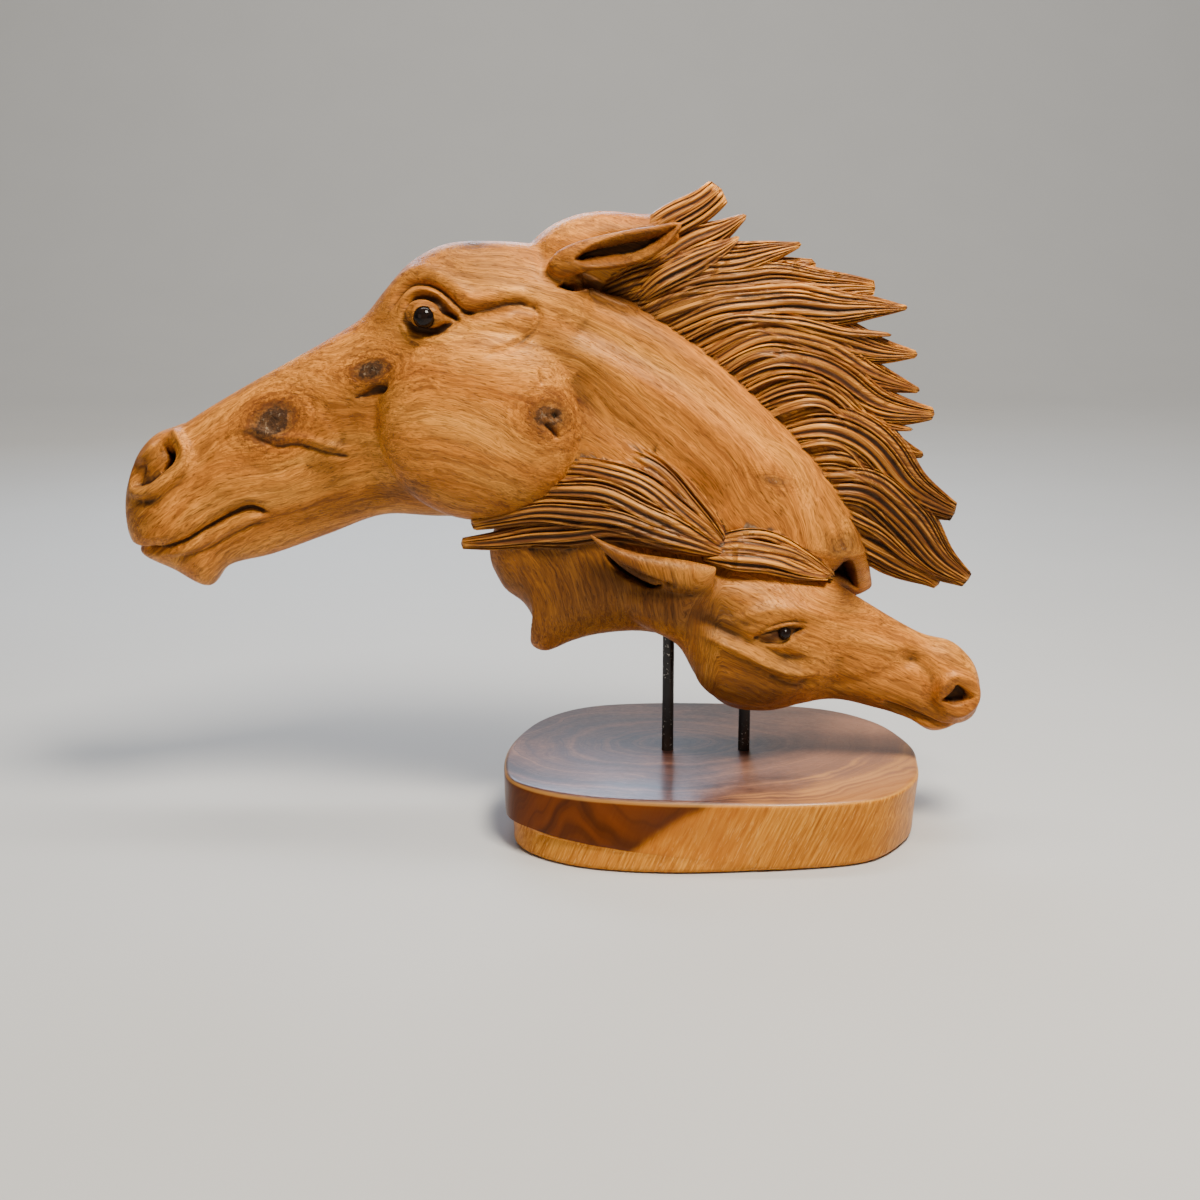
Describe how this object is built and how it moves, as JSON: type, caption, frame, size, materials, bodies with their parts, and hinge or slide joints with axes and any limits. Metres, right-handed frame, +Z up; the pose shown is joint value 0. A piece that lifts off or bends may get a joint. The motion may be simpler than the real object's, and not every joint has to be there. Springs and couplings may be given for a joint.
{
  "type": "driftwood horse head sculpture",
  "caption": "Carved wooden sculpture of a mare's head with flying mane and a foal's head below, held on slim black rods over an oval wooden slab.",
  "frame": {"origin": "centre of the slab's flat underside", "axes": "+Z up, +X to the right of the near side, towards the foal's muzzle, +Y away from the near side"},
  "size_m": [0.5954, 0.2235, 0.4395],
  "materials": {
    "carved_wood": "satin varnish over carved hardwood",
    "slab_wood": "gloss varnish over heartwood and sapwood",
    "black_steel": "black paint",
    "eye_bead": "polished black"
  },
  "bodies": {
    "root": {"carving": "carved_wood", "slab": "slab_wood", "left_rod": "black_steel", "right_rod": "black_steel", "mare_eye_near": "eye_bead", "mare_eye_far": "eye_bead", "foal_eye_near": "eye_bead", "foal_eye_far": "eye_bead"}
  },
  "joints": []
}
